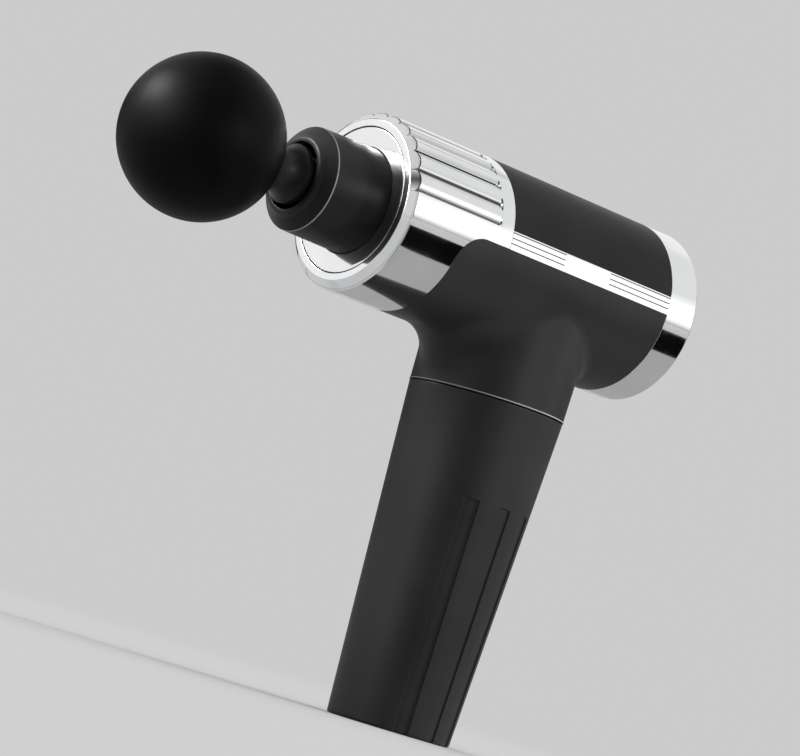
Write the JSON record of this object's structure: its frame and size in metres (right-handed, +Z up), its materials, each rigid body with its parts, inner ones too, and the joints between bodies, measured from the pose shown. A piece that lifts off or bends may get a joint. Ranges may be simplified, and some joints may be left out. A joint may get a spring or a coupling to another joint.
{
  "type": "massage gun",
  "caption": "Cordless percussion massage gun: a ball head on a plunger, driven by a motor and crank in a round barrel, with rear buttons and a battery handle.",
  "frame": {"origin": "centre of the handle's flat base, on the plane it stands on", "axes": "+Z up through the handle, -X along the barrel towards the ball head, +X to the rear cap, +Y to the left side seen from behind the rear cap"},
  "size_m": [0.2104, 0.057, 0.18],
  "materials": {
    "chrome": "polished",
    "satin_metal": "satin",
    "soft_black": "soft touch",
    "sleeve_black": "satin",
    "trim_grey": "satin",
    "gloss_black": "gloss",
    "rubber_black": "matte",
    "button_grey": "matte",
    "steel": "machined",
    "motor_steel": "blackened",
    "bronze": "machined",
    "light_alloy": "machined",
    "inner_plastic": "moulded",
    "board_green": "solder mask",
    "chip_black": "moulded",
    "contact_gold": "plated",
    "cell_wrap": "shrink wrap over a metal can"
  },
  "bodies": {
    "housing": {"nose_ring": "chrome", "upper_cover": "soft_black", "lower_shell": "soft_black", "side_strip_left": "chrome", "side_strip_right": "chrome", "face_plate": "satin_metal", "barrel_sleeve": "sleeve_black", "sleeve_cap": "trim_grey", "wiper_seal": "rubber_black", "front_bush": "bronze", "rear_bush": "bronze", "bush_bracket": "inner_plastic", "motor_can": "motor_steel", "motor_stator": "motor_steel", "motor_bearings": "steel", "motor_mount": "light_alloy", "mount_screws": "steel", "rear_ring": "chrome", "rear_panel": "soft_black", "display_lens": "gloss_black", "display_board": "board_green", "tact_switches": "chip_black", "control_board": "board_green", "board_parts": "chip_black", "board_screws": "steel", "seam_ring": "satin_metal", "neck_plug": "inner_plastic", "contact_pins": "contact_gold"},
    "crank": {"motor_rotor": "motor_steel", "motor_shaft": "steel", "crank_disc": "steel", "crank_pin": "steel"},
    "roller": {"crank_roller": "steel"},
    "plunger": {"plunger": "light_alloy"},
    "head": {"head_stem": "sleeve_black", "ball_head": "rubber_black", "head_o_ring": "rubber_black"},
    "power_button": {"power_button": "button_grey"},
    "speed_up_button": {"speed_up_button": "button_grey"},
    "speed_down_button": {"speed_down_button": "button_grey"},
    "battery_handle": {"handle_shell": "soft_black", "contact_plate": "contact_gold", "battery_cells": "cell_wrap", "lower_cell_holder": "inner_plastic", "upper_cell_holder": "inner_plastic", "charge_board": "board_green", "handle_base": "sleeve_black", "charging_jack": "trim_grey", "base_screws": "steel", "switch_bezel": "gloss_black"},
    "switch": {"main_switch": "gloss_black"}
  },
  "joints": [
    {"name": "crank_turn", "type": "hinge", "parent": "housing", "child": "crank", "pos_m": [0, 0, 0.141], "axis": [0, 0, 1], "range_deg": [0, 180]},
    {"name": "plunger_stroke", "type": "slide", "parent": "housing", "child": "plunger", "axis": [1, 0, 0], "range_m": [0, 0.012]},
    {"name": "roller_spin", "type": "hinge", "parent": "crank", "child": "roller", "pos_m": [-0.006, 0, 0.1515], "axis": [0, 0, 1], "continuous": true},
    {"name": "head_pull", "type": "slide", "parent": "plunger", "child": "head", "axis": [-1, 0, 0], "range_m": [0, 0.03]},
    {"name": "power_button_press", "type": "slide", "parent": "housing", "child": "power_button", "axis": [-1, 0, 0], "range_m": [0, 0.0006], "stiffness_N_per_m": 900, "springref_m": -0.0008},
    {"name": "speed_up_button_press", "type": "slide", "parent": "housing", "child": "speed_up_button", "axis": [-1, 0, 0], "range_m": [0, 0.0006], "stiffness_N_per_m": 900, "springref_m": -0.0008},
    {"name": "speed_down_button_press", "type": "slide", "parent": "housing", "child": "speed_down_button", "axis": [-1, 0, 0], "range_m": [0, 0.0006], "stiffness_N_per_m": 900, "springref_m": -0.0008},
    {"name": "handle_off", "type": "slide", "parent": "housing", "child": "battery_handle", "axis": [0, 0, -1], "range_m": [0, 0.015]},
    {"name": "switch_rock", "type": "hinge", "parent": "battery_handle", "child": "switch", "pos_m": [-0.0082, 0, 0.0042], "axis": [0, 1, 0], "range_deg": [-8, 8]}
  ],
  "couplings": [
    {"joint": "crank_turn", "follows": "plunger_stroke", "rad_per_m": 261.8}
  ]
}
